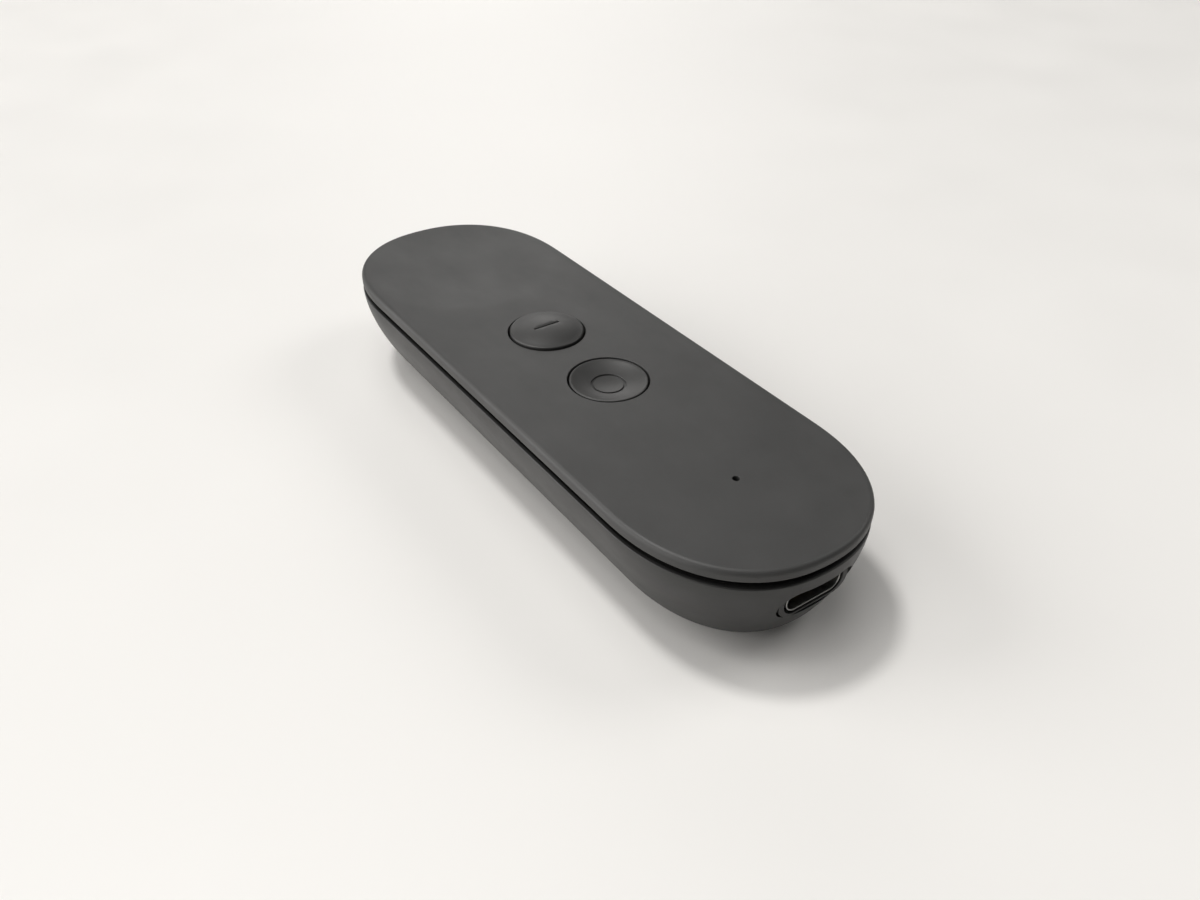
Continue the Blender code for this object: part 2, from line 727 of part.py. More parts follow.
def screws():
    for index, (x, y) in enumerate(screw_places()):
        seat = DECK_TOP + PART_GAP
        head = seat + 0.8 * MM
        profile = [(0, head - 0.4 * MM), (0.45 * MM, head - 0.4 * MM), (0.45 * MM, head), (1.3 * MM, head)]
        profile += [(1.5 * MM, head - 0.2 * MM), (1.5 * MM, seat), (SCREW_RADIUS, seat)]
        profile += [(SCREW_RADIUS, 4.4 * MM), (0.2 * MM, 3.7 * MM), (0, 3.7 * MM)]
        turned_part(f"frame_screw_{index + 1}", profile, "shield_steel", (x, y, 0), 16)


# ---------------------------------------------------------------- battery


def battery():
    cell = box_mesh("battery_cell", (-7.4 * MM, -22 * MM, 2.5 * MM), (7.4 * MM, 18 * MM, 5.6 * MM), 0.7 * MM)
    add_part("battery_cell", cell, "cell_wrap")
    foam = box_mesh("battery_foam", (-3.4 * MM, -18 * MM, 1.75 * MM), (3.4 * MM, 14 * MM, 2.2 * MM))
    add_part("battery_foam", foam, "foam_grey")
    for name, x, end_y, finish in (
        ("battery_lead_red", -3.2, 16.7, "wire_red"),
        ("battery_lead_black", -4.8, 18.1, "wire_black"),
    ):
        route = [(x, 18.3, 4.4), (x, 19.6, 4.7), (x, 20.3, 6.2), (x - 0.1, 20.2, 7.8)]
        route += [((x - 6.4) / 2, (20.2 + end_y) / 2, 8.5), (-6.4, end_y, 8.5), (-7.0, end_y, 8.5)]
        wire(name, [(px * MM, py * MM, pz * MM) for px, py, pz in route], 0.4 * MM, finish)


# ---------------------------------------------------------------- charging port


def port_bezel():
    """Flat oval plate let into the shell's end, with a groove round the receptacle."""
    plate = port_oval("port_bezel", BEZEL_WIDTH, BEZEL_HEIGHT, BEZEL_FACE_Y, BEZEL_BACK_Y)
    bezel = add_part("port_bezel", plate, "shell_plastic")
    edge = bezel.modifiers.new("edge", "BEVEL")
    edge.width = 0.08 * MM
    edge.segments = 1
    edge.limit_method = "ANGLE"
    edge.angle_limit = math.radians(50)
    width, height = PORT_WIDTH + 2 * GROOVE, PORT_HEIGHT + 2 * GROOVE
    opening = port_oval("bezel_opening", width, height, -57 * MM, -49 * MM)
    return cut(bezel, add_cutter("bezel_opening", opening))


def usb_port():
    back = PORT_FACE_Y + PORT_DEPTH
    shell = add_part(
        "usb_shell", port_oval("usb_shell", PORT_WIDTH, PORT_HEIGHT, PORT_FACE_Y, back), "shield_steel"
    )
    inner_width = PORT_WIDTH - 2 * PORT_SHEET
    inner_height = PORT_HEIGHT - 2 * PORT_SHEET
    hollow = port_oval("usb_hollow", inner_width, inner_height, PORT_FACE_Y - MM, back + MM)
    cut(shell, add_cutter("usb_hollow", hollow))

    plug = port_oval("usb_tongue", inner_width - 0.2 * MM, inner_height - 0.2 * MM, back - 1.6 * MM, back)
    insert = add_part("usb_tongue", plug, "chip_black")
    blade = box_mesh(
        "blade",
        (-3.35 * MM, PORT_FACE_Y + 0.8 * MM, PORT_Z - 0.35 * MM),
        (3.35 * MM, back - MM, PORT_Z + 0.35 * MM),
        0.08 * MM,
    )
    join(insert, add_cutter("usb_blade", blade))
    usb_contacts(back)


def usb_contacts(back):
    """Comb of contact fingers lying on the tongue, one strip with its teeth."""
    root = back - 1.8 * MM
    tip = PORT_FACE_Y + 1.3 * MM
    pitch = 0.75 * MM
    tooth = 0.3 * MM
    count = 8
    start = -(count - 1) * pitch / 2
    points = [(start + (count - 1) * pitch + tooth / 2, root), (start - tooth / 2, root)]
    for i in range(count):
        middle = start + i * pitch
        bar = root - 0.4 * MM
        points += [(middle - tooth / 2, bar), (middle - tooth / 2, tip), (middle + tooth / 2, tip)]
        points += [(middle + tooth / 2, bar)]
    bottom = PORT_Z + 0.35 * MM + 0.05 * MM
    springs = level_plate("usb_contacts", points, bottom, bottom + 0.1 * MM)
    return add_part("usb_contacts", springs, "contact_gold")


# ---------------------------------------------------------------- assembly


def build():
    bottom_shell()
    mid_frame()
    top_cover()
    pivot_pin()
    touch_board()
    touch_actuator()
    touch_flex()
    app_button()
    home_button()
    side_key_board()
    for name, y in KEYS.items():
        volume_key(name, y)
        volume_switch(name, y)
    main_board()
    for name, y in (("app", APP_Y), ("home", HOME_Y), ("touch", PAD_Y)):
        tact_switch(name, y)
    board_parts()
    light_pipe()
    antenna_strip()
    screws()
    battery()
    port_bezel()
    usb_port()


clear_scene()
PARTS = new_collection("vr_motion_controller")
CUTTERS = new_collection("cutters")
build()
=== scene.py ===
"""Fine pieces and finishes of a handheld VR motion controller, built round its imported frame.

+Y is the pointing direction (touchpad end), -Y the charging port end, +X the volume key side.
"""

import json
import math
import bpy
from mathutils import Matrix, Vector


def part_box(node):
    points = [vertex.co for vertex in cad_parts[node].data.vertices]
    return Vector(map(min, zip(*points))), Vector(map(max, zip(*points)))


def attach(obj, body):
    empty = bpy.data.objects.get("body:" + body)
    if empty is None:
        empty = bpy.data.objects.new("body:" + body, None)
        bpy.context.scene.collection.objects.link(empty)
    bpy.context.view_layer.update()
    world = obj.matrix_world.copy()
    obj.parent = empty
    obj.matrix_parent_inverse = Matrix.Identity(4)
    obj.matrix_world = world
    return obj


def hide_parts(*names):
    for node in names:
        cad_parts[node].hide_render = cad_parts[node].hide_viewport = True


bl_info = {
    "name": "Motion controller pieces",
    "version": (1, 0, 0),
    "blender": (4, 5, 0),
    "location": "View3D > Sidebar > Controller",
    "description": "Casings, keys, port, insides and finishes of a handheld motion controller",
    "category": "Add Mesh",
}

import bmesh
import bpy
import numpy as np
from bpy.props import FloatProperty, FloatVectorProperty, PointerProperty
from mathutils import Matrix, Vector
from mathutils.geometry import delaunay_2d_cdt

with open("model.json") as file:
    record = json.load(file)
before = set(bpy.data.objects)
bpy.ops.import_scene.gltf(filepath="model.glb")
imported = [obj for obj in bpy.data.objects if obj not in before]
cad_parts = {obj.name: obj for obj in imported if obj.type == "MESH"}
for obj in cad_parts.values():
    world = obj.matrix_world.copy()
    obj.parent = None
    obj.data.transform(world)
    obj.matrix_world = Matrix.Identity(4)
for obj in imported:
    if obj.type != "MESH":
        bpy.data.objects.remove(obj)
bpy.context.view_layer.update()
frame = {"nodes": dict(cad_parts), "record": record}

MM = 0.001
COVER_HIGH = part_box("top_cover")[1]
SHELL_LOW, SHELL_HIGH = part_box("bottom_shell")

# Edges that turn by more than this stay sharp
SHARP_TURN = math.radians(35)

# Half the side of the table top
TABLE_REACH = 3.0

# How finely curves are drawn
END_STEPS = 56
FLANK_STEPS = 8
BELLY_STEPS = 18
ROUND_STEPS = 5
BUTTON_SIDES = 96
SMALL_SIDES = 32
PILL_STEPS = 16
DISH_RINGS = 24
CROWN_RINGS = 9


# ---------------------------------------------------------------- properties


def length_property(name, description, default_mm):
    return FloatProperty(
        name=name,
        description=description,
        default=default_mm * MM,
        unit="LENGTH",
        subtype="DISTANCE",
        precision=5,
    )


def angle_property(name, description, default_degrees):
    return FloatProperty(
        name=name, description=description, default=math.radians(default_degrees), subtype="ANGLE"
    )


def colour_property(name, description, default):
    return FloatVectorProperty(
        name=name, description=description, default=default, size=3, min=0.0, max=1.0, subtype="COLOR"
    )


class CasingSizes(bpy.types.PropertyGroup):
    """Sizes of the touch cover and the bottom shell"""

    length: length_property("Length", "Overall length of the body", (SHELL_HIGH.y - SHELL_LOW.y) / MM)
    width: length_property("Width", "Overall width of the body", (SHELL_HIGH.x - SHELL_LOW.x) / MM)
    flank_half: length_property("Flank", "Half the length of the straight flanks", 32.0)
    end_power: FloatProperty(
        name="End shape", description="Exponent of the rounded ends; 2 is an ellipse", default=2.23
    )
    cover_top: length_property("Cover top", "Height of the cover's flat face", COVER_HIGH.z / MM)
    cover_edge: length_property("Cover edge", "Height of the cover's side band", 1.7)
    cover_plate: length_property("Cover plate", "Thickness of the cover's plate", 1.3)
    skirt: length_property("Skirt", "Thickness of the cover's side wall", 1.3)
    edge_round: length_property("Edge round", "Radius of the cover's upper edge", 0.75)
    cover_lip: length_property("Cover lip", "Radius of the cover's lower edge", 0.45)
    lip_round: length_property("Lip round", "Radius of the shell's rim", 0.2)
    rim: length_property("Rim", "Height of the bottom shell's rim", SHELL_HIGH.z / MM)
    side_draw: length_property("Side draw", "How far the shell's flanks draw in down to the underside", 6.0)
    end_draw: length_property("End draw", "How far the shell's ends draw in down to the underside", 5.0)
    belly_power: FloatProperty(name="Belly shape", description="Exponent of the shell's section", default=1.7)
    belly_round: length_property("Belly round", "Radius from the shell's sides onto its underside", 3.5)
    wall: length_property("Wall", "Thickness of the bottom shell", 1.5)
    rim_lip: length_property("Rim lip", "Thickness of the shell's outer rim", 0.7)
    rim_step: length_property("Rim step", "Depth of the step inside the shell's rim", 0.5)


class FaceSizes(bpy.types.PropertyGroup):
    """Sizes of the touchpad, the face buttons and the status light"""

    pad_y: length_property("Touchpad place", "Distance of the touchpad's middle from the body's", 35.9)
    pad_radius: length_property("Touchpad radius", "Radius of the touch dish", 16.0)
    pad_depth: length_property("Touchpad depth", "Depth of the touch dish", 0.55)
    app_y: length_property("App button place", "Distance of the app button from the middle", 8.4)
    home_y: length_property("Home button place", "Distance of the home button from the middle", -8.1)
    hole_radius: length_property("Button hole", "Radius of the holes for the face buttons", 5.97)
    button_radius: length_property("Button radius", "Radius of the face buttons", 5.68)
    app_rise: length_property("App crown", "How far the app button's middle stands up", 1.09)
    app_edge: length_property("App edge", "How far the app button's edge stands up", 0.34)
    home_dip: length_property("Home dip", "How deep the home button's middle lies", 0.95)
    light_y: length_property("Light place", "Distance of the status light from the middle", -35.7)
    light_radius: length_property("Light radius", "Radius of the status light's hole", 0.5)


class Colours(bpy.types.PropertyGroup):
    """Main colours"""

    cover: colour_property("Cover", "Moulded plastic of the cover", (0.046, 0.046, 0.0455))
    # The shell is the cover's plastic; its darker colour is partly painted shade, darkening its end that
    # faces away from the lamps
    shell: colour_property("Shell", "Moulded plastic of the shell", (0.0295, 0.0295, 0.029))
    button: colour_property("Buttons", "Moulded plastic of buttons and keys", (0.038, 0.038, 0.0375))
    floor: colour_property("Floor", "Table top", (0.84, 0.83, 0.81))
    daylight: colour_property("Surroundings", "Light from the room", (1.0, 0.985, 0.965))


class StageSettings(bpy.types.PropertyGroup):
    """Camera and lights"""

    eye: FloatVectorProperty(
        name="Eye",
        description="Place of the camera",
        default=(-0.07052, -0.10555, 0.09302),
        subtype="TRANSLATION",
        unit="LENGTH",
        precision=5,
    )
    heading: angle_property("Heading", "Direction of view, from +Y towards +X", 35.38)
    dip: angle_property("Dip", "Angle of view below the horizon", 36.65)
    roll: angle_property("Roll", "Tilt of the camera", 0.94)
    lens: FloatProperty(
        name="Lens", description="Focal length in millimetres", default=29.87, subtype="DISTANCE_CAMERA"
    )
    room_strength: FloatProperty(
        name="Room", description="Strength of the room's faint light", default=0.02
    )
    lamp_distance: FloatProperty(
        name="Lamp distance",
        description="Distance of the soft lamps",
        default=2.5,
        unit="LENGTH",
        subtype="DISTANCE",
    )


# Soft lamps round the table: name, direction from +Y towards +X, height above the horizon, power in watts,
# diameter in metres
LAMPS = (
    ("left_window", -90, 22, 19.0, 1.8),
    ("corner_window", -45, 24, 34.0, 1.8),
    ("far_wall", 30, 22, 6.0, 1.2),
    ("ceiling_back", -18, 67, 22.0, 0.4),
    ("ceiling_left", -70, 66, 3.0, 0.4),
    ("ceiling_whole", -30, 78, 19.0, 2.2),
    ("right_wall", 100, 40, 12.0, 1.2),
)


def casing():
    return bpy.context.scene.controller_casing


def face():
    return bpy.context.scene.controller_face


def colours():
    return bpy.context.scene.controller_colours


# ---------------------------------------------------------------- shape laws


def outline(inset, end_inset=None):
    """Plan outline of the body, drawn in at its sides and ends, anticlockwise from the right flank."""
    sizes = casing()
    half_width = sizes.width / 2 - inset
    end_depth = sizes.length / 2 - sizes.flank_half - (inset if end_inset is None else end_inset)
    power = 2 / sizes.end_power
    points = []
    for side in (1, -1):
        for step in range(END_STEPS + 1):
            angle = math.pi * step / END_STEPS
            across = math.copysign(abs(math.cos(angle)) ** power, math.cos(angle))
            along = abs(math.sin(angle)) ** power
            points.append((side * half_width * across, side * (sizes.flank_half + end_depth * along)))
        for step in range(1, FLANK_STEPS):
            share = 1 - 2 * step / FLANK_STEPS
            points.append((-side * half_width, side * sizes.flank_half * share))
    return points


def belly_insets(height):
    """How far the shell's outer surface lies inside the plan outline at a height: sides, ends."""
    sizes = casing()
    depth = np.clip(1 - height / sizes.rim, 0.0, 1.0) ** sizes.belly_power
    turn = np.clip(1 - height / sizes.belly_round, 0.0, 1.0)
    under = sizes.belly_round * (1 - np.sqrt(1 - turn**2))
    return sizes.side_draw * depth + under, sizes.end_draw * depth + under


def belly_reach(points):
    """0 on the body's long axis, 1 on the shell's outer surface."""
    sizes = casing()
    side, end = belly_insets(points[:, 2])
    across = np.abs(points[:, 0]) / (sizes.width / 2 - side)
    past_flank = np.maximum(np.abs(points[:, 1]) - sizes.flank_half, 0.0)
    along = past_flank / (sizes.length / 2 - sizes.flank_half - end)
    return (across**sizes.end_power + along**sizes.end_power) ** (1 / sizes.end_power)


def belly_normals(points):
    """Outward directions of the shell's outer surface near some points."""
    step = 1e-6
    slopes = np.zeros_like(points)
    for axis in range(3):
        shift = np.zeros(3)
        shift[axis] = step
        slopes[:, axis] = belly_reach(points + shift) - belly_reach(points - shift)
    slopes[points[:, 2] < 2 * step] = (0, 0, -1)
    return slopes / np.linalg.norm(slopes, axis=1, keepdims=True)


def dish_depth(x, y):
    """Depth of the touch dish below the cover's face, with a soft edge."""
    sizes = face()
    soft = 0.075
    share = 1 - (x**2 + (y - sizes.pad_y) ** 2) / sizes.pad_radius**2
    if share <= -soft:
        return 0.0
    if share >= soft:
        return sizes.pad_depth * share
    return sizes.pad_depth * (share + soft) ** 2 / (4 * soft)


def circle(radius, height, center_y=0.0, sides=BUTTON_SIDES):
    angles = [2 * math.pi * i / sides for i in range(sides)]
    return [(radius * math.cos(angle), center_y + radius * math.sin(angle), height) for angle in angles]


def pill(width, height):
    """Flat-sided oval with round ends, in its own plane."""
    radius = height / 2
    offset = width / 2 - radius
    points = []
    for side, start in ((1, -math.pi / 2), (-1, math.pi / 2)):
        for step in range(PILL_STEPS + 1):
            angle = start + math.pi * step / PILL_STEPS
            points.append((side * offset + radius * math.cos(angle), radius * math.sin(angle)))
    return points


def quarter(radius, steps=ROUND_STEPS):
    """Quarter round from a flat face to a side: pairs of (how far out, how far down)."""
    turn = math.pi / 2 / steps
    return [(radius * math.sin(i * turn), radius * (1 - math.cos(i * turn))) for i in range(steps + 1)]


# ---------------------------------------------------------------- mesh making


class Skin:
    """Closed mesh made of loops of points, stitched into strips and filled where they end."""

    def __init__(self):
        self.mesh = bmesh.new()

    def loop(self, points):
        return [self.mesh.verts.new(point) for point in points]

    def stitch(self, *loops):
        for near, far in zip(loops, loops[1:]):
            for i, vert in enumerate(near):
                j = (i + 1) % len(near)
                self.mesh.faces.new((vert, near[j], far[j], far[i]))

    def strips(self, rings):
        """Stitches rings of points into a tube and gives back its first and last loop."""
        loops = [self.loop(ring) for ring in rings]
        self.stitch(*loops)
        return loops[0], loops[-1]

    def cap(self, loop):
        self.mesh.faces.new(loop)

    def fill(self, outer, holes=(), inner=()):
        """Triangles between an outer loop and its holes, through inner points, as seen from above."""
        verts, edges, borders = [], [], []
        for loop in (outer, *holes):
            start = len(verts)
            edges += [(start + i, start + (i + 1) % len(loop)) for i in range(len(loop))]
            verts += loop
            borders.append(np.array([vert.co.xy for vert in loop]))
        verts += self.loop(inner)
        flat = [vert.co.xy for vert in verts]
        points, _, triangles, sources, _, _ = delaunay_2d_cdt(flat, edges, [], 0, 1e-9)
        middles = np.array([sum((points[i] for i in triangle), Vector((0, 0))) / 3 for triangle in triangles])
        kept = inside(middles, borders[0])
        for hole in borders[1:]:
            kept &= ~inside(middles, hole)
        for triangle, keep in zip(triangles, kept):
            if keep:
                self.mesh.faces.new([verts[sources[i][0]] for i in triangle])

    def to_mesh(self, name):
        bmesh.ops.recalc_face_normals(self.mesh, faces=self.mesh.faces)
        mesh = bpy.data.meshes.new(name)
        self.mesh.to_mesh(mesh)
        self.mesh.free()
        return mesh


def inside(points, polygon):
    """Which points lie inside a closed polygon, by counting crossings."""
    x, y = points[:, 0, None], points[:, 1, None]
    x1, y1 = polygon[:, 0], polygon[:, 1]
    x2, y2 = np.roll(x1, -1), np.roll(y1, -1)
    spans = (y1 > y) != (y2 > y)
    with np.errstate(divide="ignore", invalid="ignore"):
        crossing = x1 + (y - y1) * (x2 - x1) / (y2 - y1)
    return (spans & (x < crossing)).sum(axis=1) % 2 == 1


def add_piece(name, mesh, body, slot, replaced, shaded=False):
    """Puts a mesh in the scene, shades it unless it is shaded already, and ties it to its body and finish."""
    piece = bpy.data.objects.new(name, mesh)
    bpy.context.scene.collection.objects.link(piece)
    mesh.materials.clear()
    mesh.materials.append(finish(slot))
    if not shaded:
        mesh.shade_smooth()
        mesh.set_sharp_from_angle(angle=SHARP_TURN)
        weighted = piece.modifiers.new("weighted_normals", "WEIGHTED_NORMAL")
        weighted.keep_sharp = True
    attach(piece, body)
    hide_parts(*replaced)


def block(name, low, high, edge=0.0, segments=3):
    """Box between two corners with rounded edges."""
    low, high = Vector(low), Vector(high)
    shape = bmesh.new()
    bmesh.ops.create_cube(shape, size=1.0)
    bmesh.ops.scale(shape, vec=high - low, verts=shape.verts)
    bmesh.ops.translate(shape, vec=(low + high) / 2, verts=shape.verts)
    if edge:
        bmesh.ops.bevel(shape, geom=shape.edges, offset=edge, segments=segments, affect="EDGES", profile=0.5)
    mesh = bpy.data.meshes.new(name)
    shape.to_mesh(mesh)
    shape.free()
    return mesh


def turned(name, profile, center_y, sides=BUTTON_SIDES):
    """Solid of revolution about a vertical axis, from a profile of (radius, height) pairs."""
    skin = Skin()
    first, last = skin.strips([circle(radius, height, center_y, sides) for radius, height in profile])
    skin.cap(first)
    skin.cap(last)
    return skin.to_mesh(name)


def prism(name, points, axis, low, high):
    """Straight prism of a pill outline along X or Y, used for cutting."""
    skin = Skin()
    if axis == "Y":
        rings = [[(x, level, z) for x, z in points] for level in (low, high)]
    else:
        rings = [[(level, y, z) for y, z in points] for level in (low, high)]
    first, last = skin.strips(rings)
    skin.cap(first)
    skin.cap(last)
    return skin.to_mesh(name)


def carve(mesh, cutters, operation="DIFFERENCE"):
    """Mesh after exact Booleans with some cutter meshes."""
    body = bpy.data.objects.new("carving", mesh)
    bpy.context.scene.collection.objects.link(body)
    helpers = []
    for cutter in cutters:
        helper = bpy.data.objects.new("cutter", cutter)
        bpy.context.scene.collection.objects.link(helper)
        helpers.append(helper)
        step = body.modifiers.new("cut", "BOOLEAN")
        step.operation = operation
        step.solver = "EXACT"
        step.object = helper
    bpy.context.view_layer.update()
    result = bpy.data.meshes.new_from_object(body.evaluated_get(bpy.context.evaluated_depsgraph_get()))
    for spare in (body, *helpers):
        bpy.data.objects.remove(spare, do_unlink=True)
    return result


def shade_along_belly(mesh):
    """Smooth shading from the shell's own law on its outer surface, and flat shading on cut walls."""
    mesh.shade_smooth()
    points = np.empty(len(mesh.vertices) * 3)
    mesh.vertices.foreach_get("co", points)
    law = belly_normals(points.reshape(-1, 3))
    alike = 0.93
    normals = []
    for polygon in mesh.polygons:
        flat = np.array(polygon.normal)
        for vert in polygon.vertices:
            along = law[vert] @ flat
            normals.append(tuple(law[vert] if along > alike else -law[vert] if along < -alike else flat))
    mesh.normals_split_custom_set(normals)


# ---------------------------------------------------------------- finishes


class Finish:
    """Node material under construction, with short words for the nodes that plastics and metals need."""

    def __init__(self, name, colour, roughness, metallic=0.0):
        self.material = bpy.data.materials.new(name)
        self.material.use_nodes = True
        self.material.diffuse_color = (*colour, 1.0)
        self.tree = self.material.node_tree
        self.shader = self.tree.nodes["Principled BSDF"]
        self.set("Base Color", (*colour, 1.0))
        self.set("Roughness", roughness)
        self.set("Metallic", metallic)
        self.place = self.tree.nodes.new("ShaderNodeTexCoord").outputs["Object"]

    def set(self, socket, value):
        self.shader.inputs[socket].default_value = value

    def node(self, kind, **settings):
        made = self.tree.nodes.new(kind)
        for name, value in settings.items():
            setattr(made, name, value)
        return made

    def link(self, source, target):
        self.tree.links.new(source, target)

    def stretched(self, scale):
        """Object coordinates scaled unevenly, for brushed or drawn patterns."""
        mapping = self.node("ShaderNodeMapping")
        mapping.inputs["Scale"].default_value = scale
        self.link(self.place, mapping.inputs["Vector"])
        return mapping.outputs["Vector"]

    def noise(self, size, detail=3.0, place=None, rough=0.5):
        """Cloudy pattern whose features measure about one size, in metres."""
        made = self.node("ShaderNodeTexNoise")
        made.inputs["Scale"].default_value = 1 / size
        made.inputs["Detail"].default_value = detail
        made.inputs["Roughness"].default_value = rough
        self.link(place or self.place, made.inputs["Vector"])
        return made.outputs["Fac"]

    def cells(self, size):
        """Distance from the middle of the nearest cell, for cells of about one size, in metres."""
        made = self.node("ShaderNodeTexVoronoi")
        made.inputs["Scale"].default_value = 1 / size
        self.link(self.place, made.inputs["Vector"])
        return made.outputs["Distance"]

    def between(self, value, low, high, to_low=0.0, to_high=1.0):
        """Maps one range of a value onto another."""
        made = self.node("ShaderNodeMapRange")
        made.inputs["From Min"].default_value = low
        made.inputs["From Max"].default_value = high
        made.inputs["To Min"].default_value = to_low
        made.inputs["To Max"].default_value = to_high
        self.link(value, made.inputs["Value"])
        return made.outputs["Result"]

    def mixed(self, share, first, second):
        """Colour that runs from one to another; each is a colour or a socket."""
        made = self.node("ShaderNodeMix", data_type="RGBA")
        sockets = [s for s in made.inputs if s.enabled]
        self.link(share, sockets[0])
        for socket, value in zip(sockets[1:], (first, second)):
            if isinstance(value, bpy.types.NodeSocket):
                self.link(value, socket)
            else:
                socket.default_value = (*value, 1.0)
        return next(s for s in made.outputs if s.enabled)

    def maths(self, operation, first, second):
        made = self.node("ShaderNodeMath", operation=operation)
        for socket, value in zip(made.inputs, (first, second)):
            if isinstance(value, bpy.types.NodeSocket):
                self.link(value, socket)
            else:
                socket.default_value = value
        return made.outputs[0]

    def colour(self, socket):
        self.link(socket, self.shader.inputs["Base Color"])

    def roughness(self, pattern, low, high):
        """Roughness that a pattern moves between two values."""
        self.link(self.between(pattern, 0.3, 0.7, low, high), self.shader.inputs["Roughness"])

    def bump(self, height, depth):
        """Raises the surface by a pattern."""
        made = self.node("ShaderNodeBump")
        made.inputs["Distance"].default_value = depth
        self.link(height, made.inputs["Height"])
        self.link(made.outputs["Normal"], self.shader.inputs["Normal"])


def shifted(colour, factor):
    return tuple(min(channel * factor, 1.0) for channel in colour)


def moulded_plastic(name, colour, roughness, grain, depth):
    """Matte moulded plastic: spark-eroded grain, faint handling marks and a few dust flecks."""
    made = Finish(name, colour, roughness)
    cloud = made.noise(9 * MM, detail=4.0)
    tone = made.mixed(made.between(cloud, 0.35, 0.65), shifted(colour, 0.93), shifted(colour, 1.07))
    fleck = made.between(made.cells(2.6 * MM), 0.0, 0.022, 1.0, 0.0)
    rare = made.between(made.noise(4.1 * MM, detail=1.0), 0.56, 0.62, 0.0, 0.5)
    made.colour(made.mixed(made.maths("MULTIPLY", fleck, rare), tone, shifted(colour, 3.0)))
    smear = made.noise(5 * MM, detail=6.0, place=made.stretched((1.0, 0.45, 1.0)), rough=0.6)
    made.roughness(smear, roughness - 0.05, roughness + 0.05)
    made.bump(made.noise(grain, detail=2.0), depth)
    made.set("Specular IOR Level", 0.45)
    return made.material


def frame_plastic(name, colour, roughness):
    """Glass-filled black plastic with a slightly fibrous surface."""
    made = Finish(name, colour, roughness)
    fibres = made.noise(0.25 * MM, detail=4.0, place=made.stretched((1.0, 0.2, 1.0)))
    made.colour(made.mixed(fibres, shifted(colour, 0.7), shifted(colour, 1.6)))
    made.roughness(fibres, roughness - 0.1, roughness + 0.1)
    made.bump(fibres, 0.01 * MM)
    return made.material


def circuit_board(name, colour, roughness):
    """Solder mask over copper tracks, with small plated holes."""
    made = Finish(name, colour, roughness)
    tracks = made.node("ShaderNodeTexBrick", offset=0.37, squash=1.7)
    tracks.inputs["Scale"].default_value = 1 / (3.2 * MM)
    tracks.inputs["Mortar Size"].default_value = 0.06
    tracks.inputs["Mortar Smooth"].default_value = 0.1
    made.link(made.place, tracks.inputs["Vector"])
    ridge = tracks.outputs["Fac"]
    mask = made.mixed(ridge, colour, shifted(colour, 1.8))
    via = made.between(made.cells(1.9 * MM), 0.06, 0.075, 1.0, 0.0)
    made.colour(made.mixed(via, mask, (0.62, 0.50, 0.24)))
    made.link(via, made.shader.inputs["Metallic"])
    made.roughness(made.noise(0.6 * MM), roughness - 0.08, roughness + 0.08)
    made.bump(ridge, 0.03 * MM)
    return made.material


def chip_epoxy(name, colour, roughness):
    """Black moulding compound with fine filler grain."""
    made = Finish(name, colour, roughness)
    grain = made.noise(0.06 * MM, detail=2.0)
    made.colour(made.mixed(grain, shifted(colour, 0.7), shifted(colour, 1.5)))
    made.roughness(grain, roughness - 0.08, roughness + 0.08)
    made.bump(grain, 0.004 * MM)
    return made.material


def brushed_metal(name, colour, roughness):
    """Sheet metal with drawing lines along the body and small stains."""
    made = Finish(name, colour, roughness, metallic=1.0)
    lines = made.noise(0.05 * MM, detail=3.0, place=made.stretched((1.0, 0.06, 1.0)))
    stain = made.noise(2.2 * MM, detail=5.0)
    made.colour(made.mixed(stain, shifted(colour, 0.82), shifted(colour, 1.1)))
    made.roughness(lines, roughness - 0.1, roughness + 0.12)
    made.bump(lines, 0.003 * MM)
    return made.material


def foil_pouch(name, colour, roughness):
    """Aluminium laminate of a battery pouch, softly wrinkled."""
    made = Finish(name, colour, roughness, metallic=0.7)
    wrinkle = made.noise(2.5 * MM, detail=5.0, rough=0.6)
    made.colour(made.mixed(wrinkle, shifted(colour, 0.85), shifted(colour, 1.15)))
    made.roughness(wrinkle, roughness - 0.08, roughness + 0.12)
    made.bump(wrinkle, 0.08 * MM)
    return made.material


def open_foam(name, colour, roughness):
    """Foam with visible cells, each cell's pit darkened as painted shade."""
    made = Finish(name, colour, roughness)
    cells = made.cells(0.22 * MM)
    # Painted shade: colour runs from dark at each cell's middle, where the bump sinks a pit, to light at its
    # walls
    made.colour(made.mixed(made.between(cells, 0.1, 0.6), shifted(colour, 0.4), shifted(colour, 1.5)))
    made.roughness(made.noise(1.0 * MM), roughness - 0.1, 1.0)
    made.bump(cells, 0.08 * MM)
    return made.material


def flex_film(name, colour, roughness):
    """Amber film with copper tracks running along it."""
    made = Finish(name, colour, roughness)
    wave = made.node("ShaderNodeTexWave", wave_type="BANDS", bands_direction="X")
    wave.inputs["Scale"].default_value = 700.0
    made.link(made.place, wave.inputs["Vector"])
    track = made.between(wave.outputs["Fac"], 0.45, 0.55)
    made.colour(made.mixed(track, colour, (0.62, 0.30, 0.12)))
    made.roughness(made.noise(0.8 * MM), roughness - 0.08, roughness + 0.08)
    made.bump(track, 0.02 * MM)
    return made.material


def wire_insulation(name, colour, roughness):
    """Soft extruded insulation with faint die lines."""
    made = Finish(name, colour, roughness)
    cloud = made.noise(0.8 * MM, detail=3.0)
    made.colour(made.mixed(cloud, shifted(colour, 0.85), shifted(colour, 1.15)))
    made.roughness(cloud, roughness - 0.06, roughness + 0.06)
    made.bump(cloud, 0.01 * MM)
    return made.material


def light_acrylic(name, colour, roughness):
    """Smoked acrylic light guide with frosted patches."""
    made = Finish(name, colour, roughness)
    frost = made.noise(0.3 * MM, detail=4.0)
    made.colour(made.mixed(frost, shifted(colour, 0.8), shifted(colour, 1.2)))
    made.roughness(frost, max(roughness - 0.1, 0.02), roughness + 0.2)
    made.set("Transmission Weight", 0.4)
    made.bump(frost, 0.005 * MM)
    return made.material


